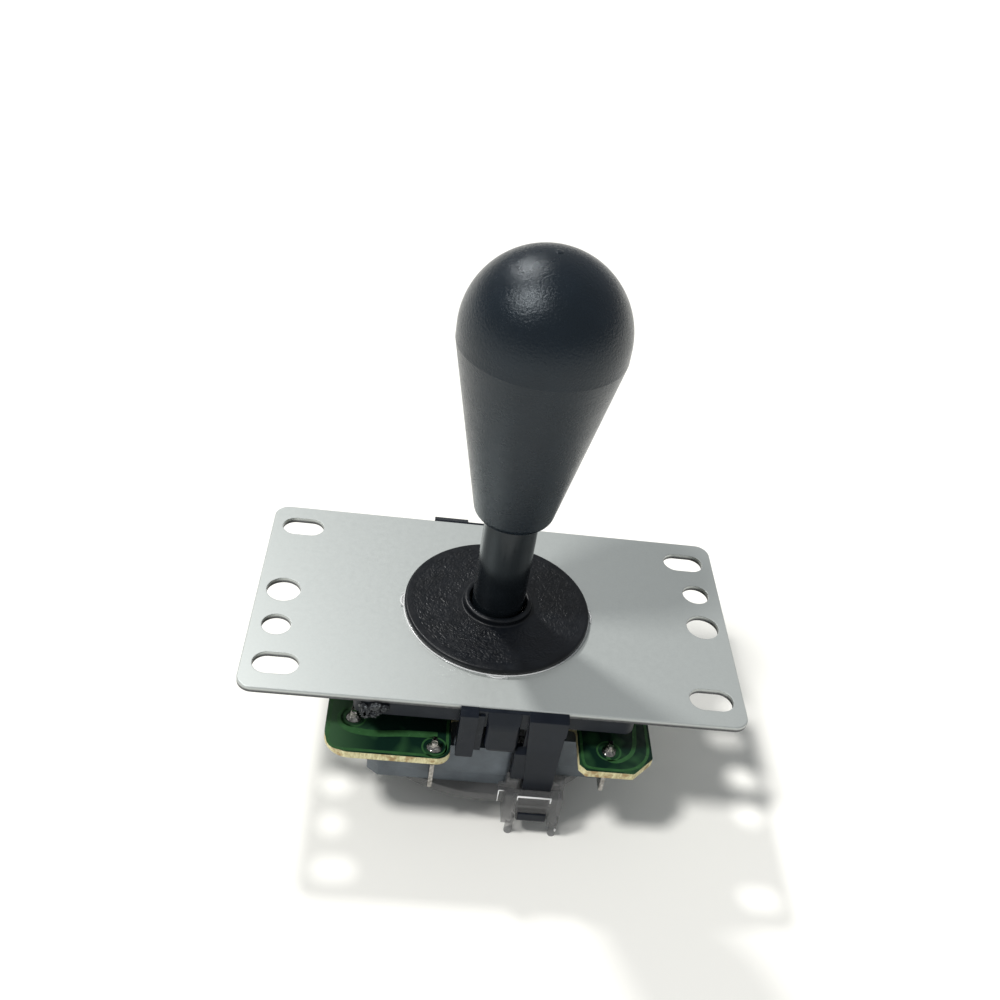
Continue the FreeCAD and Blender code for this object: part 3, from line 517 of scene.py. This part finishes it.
def add_piece(mesh, material, body=None, smooth=True):
    """Puts a mesh in the scene as a piece of the same name, which rides on a body if one is given."""
    mesh.polygons.foreach_set("use_smooth", [smooth] * len(mesh.polygons))
    mesh.materials.append(material)
    piece = bpy.data.objects.new(mesh.name, mesh)
    bpy.context.scene.collection.objects.link(piece)
    if body is not None:
        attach(piece, body)
    return piece


def add_mesh(name, vertices, faces, material, body=None, smooth=True):
    """Adds a piece made of points and faces."""
    mesh = bpy.data.meshes.new(name)
    mesh.from_pydata([tuple(vertex) for vertex in vertices], [], faces)
    mesh.validate()
    return add_piece(mesh, material, body, smooth)


def joined(parts):
    """Points and faces of several parts in one."""
    vertices = []
    faces = []
    for points, strips in parts:
        start = len(vertices)
        vertices += points
        faces += [tuple(index + start for index in face) for face in strips]
    return vertices, faces


def make_floor():
    """The floor that the lever stands on."""
    low = cad_bounds[0][2]
    corners = [(-floor_half, -floor_half, low), (floor_half, -floor_half, low),
               (floor_half, floor_half, low), (-floor_half, floor_half, low)]
    floor = add_mesh("floor", corners, [(0, 1, 2, 3)], floor_card(), smooth=False)


def lathe(profile, spokes, lift=None):
    """Points and faces of a closed profile of (radius, height), turned about the lever's axis.

    A lift, if one is given, says how far each point rises.
    """
    points = []
    for radius, height in profile:
        for spoke in range(spokes):
            angle = 2 * math.pi * spoke / spokes
            point = Vector((radius * math.cos(angle), radius * math.sin(angle), height))
            if lift is not None:
                point.z += lift(point, radius)
            points.append(point)
    faces = []
    count = len(profile)
    for ring in range(count):
        following = (ring + 1) % count
        for spoke in range(spokes):
            beside = (spoke + 1) % spokes
            faces.append((ring * spokes + spoke, ring * spokes + beside,
                          following * spokes + beside, following * spokes + spoke))
    return points, faces


def leather_height(point):
    """Grain height between 0 and 1: winding creases in a slightly lumpy skin."""
    warp = noise.noise_vector(point / grain_warp_size) * grain_warp
    fold = abs(noise.noise((point + warp) / crease_size))
    lump = 0.5 + 0.5 * noise.noise((point - warp) / lump_size)
    calm = calm_mean + calm_spread * noise.noise(point / calm_size)
    skin = crease_share * min(1.0, fold * crease_sharpness) + lump_share * lump
    return grain_level + (skin - grain_level) * min(1.0, calm)


def make_dust_washer():
    """The washer with its leather grain between the smooth rim and the collar.

    The warp of the creases is seeded, because it would follow the clock otherwise.
    """
    noise.seed_set(grain_seed)
    low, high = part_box("dust_washer")
    film_top = low.z
    rim = high.x
    top = film_top + washer_thickness
    inner_edge = washer_collar + grain_collar_gap
    outer_edge = rim - grain_border

    def lift(point, radius):
        if abs(point.z - top) > flat_tolerance or not inner_edge < radius < outer_edge:
            return 0.0
        fade = min(1.0, (radius - inner_edge) / grain_inner_fade, (outer_edge - radius) / grain_outer_fade)
        return grain_height * fade * (leather_height(Vector((point.x, point.y, 0.0))) - grain_level)

    points, faces = lathe(washer_profile(film_top, rim, high.z), grain_spokes, lift)
    washer = add_mesh("dust_washer_grained", points, faces, grained_rubber(), "dust_washer")
    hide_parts("dust_washer")


def washer_profile(film_top, rim, collar_top):
    """Section of the washer: bore, foot, rounded rim, top, fillet and round-topped collar."""
    top = film_top + washer_thickness
    start = rim - washer_edge_round
    root = washer_collar + washer_collar_root
    half = (washer_collar - washer_bore) / 2
    profile = [(washer_bore, film_top), (rim - washer_foot, film_top), (rim, film_top + washer_foot)]
    for step in range(washer_edge_steps + 1):
        angle = math.pi / 2 * step / washer_edge_steps
        profile.append((start + washer_edge_round * math.cos(angle),
                        top - washer_edge_round * (1 - math.sin(angle))))
    for step in range(1, grain_rings + 1):
        profile.append((start + (root - start) * step / grain_rings, top))
    for step in range(1, washer_root_steps + 1):
        angle = math.pi / 2 * step / washer_root_steps
        profile.append((root - washer_collar_root * math.sin(angle),
                        top + washer_collar_root * (1 - math.cos(angle))))
    for step in range(washer_collar_steps + 1):
        angle = math.pi * step / washer_collar_steps
        profile.append((washer_bore + half + half * math.cos(angle),
                        collar_top - half * washer_collar_crown * (1 - math.sin(angle))))
    return profile


def ribbon(points, width, height, low):
    """Points and faces of a flat strip along a path in XY."""
    vertices = []
    faces = []
    for index, point in enumerate(points):
        before = points[max(index - 1, 0)]
        after = points[min(index + 1, len(points) - 1)]
        along = (after - before).normalized()
        across = Vector((-along.y, along.x)) * width / 2
        for side in (-1, 1):
            edge = point + across * side
            vertices += [(edge.x, edge.y, low), (edge.x, edge.y, low + height)]
    for index in range(len(points) - 1):
        a, b = index * 4, index * 4 + 4
        faces += [(a + 1, b + 1, b + 3, a + 3), (a, a + 2, b + 2, b),
                  (a, b, b + 1, a + 1), (a + 2, a + 3, b + 3, b + 2)]
    last = (len(points) - 1) * 4
    faces += [(0, 1, 3, 2), (last, last + 2, last + 3, last + 1)]
    return vertices, faces


def smooth_path(corners, closed=False):
    """A path through corners, each cut by a short curve."""
    count = len(corners)
    path = [] if closed else [corners[0]]
    for index in range(count) if closed else range(1, count - 1):
        before, here, after = corners[index - 1], corners[index], corners[(index + 1) % count]
        start = here.lerp(before, min(corner_share, corner_reach / (before - here).length))
        end = here.lerp(after, min(corner_share, corner_reach / (after - here).length))
        for step in range(corner_steps + 1):
            share = step / corner_steps
            path.append(start.lerp(here, share).lerp(here.lerp(end, share), share))
    path.append(path[0] if closed else corners[-1])
    return path


def rings_of_faces(rings, spokes):
    """Faces that join rings of points, one after the other, with both ends shut."""
    faces = []
    for ring in range(rings - 1):
        a, b = ring * spokes, (ring + 1) * spokes
        for spoke in range(spokes):
            beside = (spoke + 1) % spokes
            faces.append((a + spoke, a + beside, b + beside, b + spoke))
    faces.append(tuple(reversed(range(spokes))))
    faces.append(tuple((rings - 1) * spokes + spoke for spoke in range(spokes)))
    return faces


def solder_places():
    """Centre and free reach of each solder joint, read from the CAD node."""
    node = nodes["solder_joints"]
    groups = []
    for vertex in node.data.vertices:
        place = (node.matrix_world @ vertex.co).to_2d()
        near = [group for group in groups if (group[0] - place).length < solder_spacing]
        if near:
            near[0].append(place)
        else:
            groups.append([place])
    centres = []
    for group in groups:
        spans = [(min(along), max(along)) for along in zip(*group)]
        centres.append(Vector([(low + high) / 2 for low, high in spans]))
    places = []
    for centre in centres:
        spacing = min((other - centre).length for other in centres if other is not centre)
        places.append((centre, min(solder_reach, spacing / 2)))
    return places


def make_solder():
    """Solder cones: a wide wetted foot that draws in to the lead, each a little uneven."""
    board_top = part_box("circuit_board")[1].z
    cones = []
    for centre, reach in solder_places():
        points = []
        for share, rise in solder_outline:
            for spoke in range(solder_spokes):
                angle = 2 * math.pi * spoke / solder_spokes
                ray = Vector((math.cos(angle), math.sin(angle)))
                lump = noise.noise(Vector((*(centre / mm + ray), rise)) * solder_wobble_scale)
                place = centre + ray * share * reach * (1.0 + solder_wobble * lump)
                points.append((place.x, place.y, board_top + rise * solder_height))
        cones.append((points, rings_of_faces(len(solder_outline), solder_spokes)))
    solder = add_mesh("solder_cones", *joined(cones), solder_tin(), "housing")
    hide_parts("solder_joints")


def make_traces():
    """Copper under the mask on the board's top face: border, runs and rings round the pads."""
    board_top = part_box("circuit_board")[1].z
    outline = [Vector(corner) * mm for corner in trace_border]
    outline += [-corner for corner in outline]
    paths = [(smooth_path(outline, closed=True), trace_border_width)]
    for half_turn in (1, -1):
        for corners, width in trace_runs:
            paths.append((smooth_path([Vector(corner) * mm * half_turn for corner in corners]), width * mm))
    for centre, reach in solder_places():
        if reach == solder_reach:
            circle = []
            for step in range(pad_ring_steps + 1):
                angle = 2 * math.pi * step / pad_ring_steps
                circle.append(centre + Vector((math.cos(angle), math.sin(angle))) * pad_ring_radius)
            paths.append((circle, pad_ring_width))
    strips = [ribbon(path, width, trace_height, board_top - trace_sink) for path, width in paths]
    traces = add_mesh("board_traces", *joined(strips), trace_mask(), "housing", smooth=False)


def make_grip_mark():
    """The small raised mark that moulding leaves on the grip's crown."""
    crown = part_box("grip")[1].z
    bm = bmesh.new()
    bmesh.ops.create_uvsphere(bm, u_segments=mark_segments, v_segments=mark_rings, radius=mark_radius)
    for vertex in bm.verts:
        vertex.co.z *= mark_height / mark_radius
    mesh = bpy.data.meshes.new("grip_mark")
    bm.to_mesh(mesh)
    bm.free()
    mesh.transform(Matrix.Translation((0.0, 0.0, crown - mark_sink)))
    mark = add_piece(mesh, nodes["grip"].data.materials[0], "lever")


def tube(path, outward, wire, sides=8):
    """Points and faces of a round wire along a path, with an outward direction at each of its points."""
    vertices = []
    for step, (centre, away) in enumerate(zip(path, outward)):
        before = path[max(step - 1, 0)]
        after = path[min(step + 1, len(path) - 1)]
        beyond = (after - before).normalized().cross(away)
        for side in range(sides):
            around = 2 * math.pi * side / sides
            vertices.append(centre + (away * math.cos(around) + beyond * math.sin(around)) * wire)
    return vertices, rings_of_faces(len(path), sides)


def make_film_edge():
    """Thin moulded border of the film, just under the washer, with a loop at each of its four nubs."""
    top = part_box("slip_film")[1].z - film_border_drop
    washer_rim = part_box("dust_washer")[1].x
    inner = washer_rim - film_border_width
    round_radius = washer_rim + film_border_reach - film_border_round
    profile = [(inner, top - 2 * film_border_round)]
    for step in range(film_border_steps + 1):
        angle = math.pi * (step / film_border_steps - 0.5)
        profile.append((round_radius + film_border_round * math.cos(angle),
                        top - film_border_round * (1 - math.sin(angle))))
    profile.append((inner, top))
    parts = [lathe(profile, film_border_spokes)]
    for quarter in range(4):
        turn = Matrix.Rotation(math.pi / 2 * quarter, 3, "Z")
        path = []
        outward = []
        for step in range(film_loop_steps + 1):
            angle = math.pi * step / film_loop_steps
            centre = Vector((washer_rim - film_loop_sink + film_loop_radius * math.sin(angle),
                             film_loop_radius * film_loop_stretch * math.cos(angle), top - film_loop_wire))
            path.append(turn @ centre)
            outward.append(turn @ Vector((math.sin(angle), math.cos(angle), 0.0)))
        parts.append(tube(path, outward, film_loop_wire))
    bead = clear_plastic("film_bead", (0.9, 0.9, 0.9), 0.85, 0.1, 2 * mm)
    edge = add_mesh("film_edge", *joined(parts), bead, "slip_film")


def make_spring():
    """The centring spring, in two pieces that share one ring.
    """
    low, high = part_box("spring")
    first = high.z - spring_wire
    drop = first - (low.z + spring_wire)
    count = spring_turns * spring_steps
    path = []
    outward = []
    for step in range(count + 1):
        angle = 2 * math.pi * (spring_turns - step / spring_steps)
        away = Vector((math.cos(angle), math.sin(angle), 0.0))
        path.append(away * spring_radius + Vector((0.0, 0.0, first - drop * step / count)))
        outward.append(away)
    split = next(step for step, centre in enumerate(path) if centre.z < spring_bends[1])
    steel = nodes["spring"].data.materials[0]
    upper_tube = tube(path[:split + 1], outward[:split + 1], spring_wire, spring_sides)
    lower_tube = tube(path[split:], outward[split:], spring_wire, spring_sides)
    upper = add_mesh("spring_upper", *upper_tube, steel)
    lower = add_mesh("spring_lower", *lower_tube, steel)
    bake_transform(upper)
    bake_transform(lower)
    for piece in (upper, lower):
        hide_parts("spring")


def make_gate_glints():
    """Painted highlights on the gate's loops: bright white lines that stand in for glints along each
    crossbar, beside it and on a foot.
    """
    tubes = []
    for half_turn in (1, -1):
        for corners, wire in gate_glint_paths.values():
            path = [Vector((x * half_turn, y * half_turn, z)) * mm for x, y, z in corners]
            tubes.append(tube(path, [Vector((0, -half_turn, 0))] * len(path), wire * mm))
    # Near-white, nearly opaque lines: painted glints, not a colour of the clear gate
    glint_white = clear_plastic("painted_glint", (0.92, 0.92, 0.92), 0.9, 0.05, 1 * mm)
    lines = add_mesh("gate_painted_glints", *joined(tubes), glint_white, "housing")


def make_flange_flash(material):
    """Rough lump of flash that moulding left on the flange's front edge, at the left."""
    random.seed(flash_seed)
    bm = bmesh.new()
    for _ in range(flash_grains):
        centre = Vector([random.uniform(*limits) for limits in flash_places]) * mm
        size = random.uniform(*flash_sizes) * mm
        grain = bmesh.ops.create_icosphere(bm, subdivisions=3, radius=size)["verts"]
        for vertex in grain:
            rough = noise.noise((vertex.co + centre) / flash_rough_size)
            vertex.co = centre + vertex.co * (1.0 + flash_rough_share * rough)
            vertex.co.y = max(vertex.co.y, flash_front)
    mesh = bpy.data.meshes.new("flange_flash")
    bm.to_mesh(mesh)
    bm.free()
    flash = add_piece(mesh, material, "housing", smooth=False)


def dress_nodes():
    """Materials for every CAD node, and the two pieces with a black or clear skin of their own."""
    body_black = dark_moulding("body_black", (0.0045, 0.0060, 0.0105), 0.34, specular=0.25)
    switch_grey = dark_moulding("switch_grey", (0.108, 0.125, 0.142), 0.36, edge=0.15 * mm, specular=0.4)
    tin = solder_tin()
    white = acetal_white()
    red = plain_moulding("plunger_red", (0.36, 0.03, 0.025), 0.4)
    steel = drawn_metal("turned_steel", (0.62, 0.62, 0.62), 0.22, (0.1, 0.1, 1.0))
    spring_steel = drawn_metal("spring_steel", (0.50, 0.49, 0.47), 0.33, (1.0, 1.0, 1.0))
    paint(["mounting_plate"], zinc_plate())
    paint(["plate_screws"], drawn_metal("screw_steel", (0.55, 0.53, 0.47), 0.3, (1.0, 1.0, 1.0)))
    paint(["body"], body_black)
    paint(["pivot_ball", "spring_seat"], white)
    paint(["shaft"], steel)
    paint(["shaft_cover"], gloss_tube())
    paint(["grip"], grip_plastic())
    paint(["grip_insert"], brass_insert())
    paint(["slip_film"], clear_plastic("film_clear", (0.92, 0.93, 0.93), 0.35, 0.1, 2 * mm))
    paint(["dust_washer"], grained_rubber())
    paint(["spring", "e_clip"], spring_steel)
    paint(["actuator"], dark_moulding("actuator_black", (0.015, 0.015, 0.017), 0.36))
    paint(["circuit_board"], board_laminate())
    paint(["header_housing"], plain_moulding("header_cream", (0.72, 0.68, 0.55), 0.45))
    paint(["header_pins", "solder_joints"], tin)
    paint(["gate"], clear_plastic("gate_clear", (0.105, 0.105, 0.108), 0.42, 0.06, 5 * mm))
    paint([f"switch_base_{side}" for side in switch_sides], switch_grey)
    paint([f"switch_cover_{side}" for side in switch_sides], switch_grey)
    paint([f"switch_terminals_{side}" for side in switch_sides], tin)
    paint([f"plunger_{side}" for side in switch_sides], red)
    make_film_edge()
    make_flange_flash(dark_moulding("flash_black", (0.012, 0.012, 0.014), 0.2, specular=0.6))


make_camera()
make_light()
make_floor()
dress_nodes()
make_dust_washer()
make_traces()
make_solder()
make_spring()
make_gate_glints()
make_grip_mark()
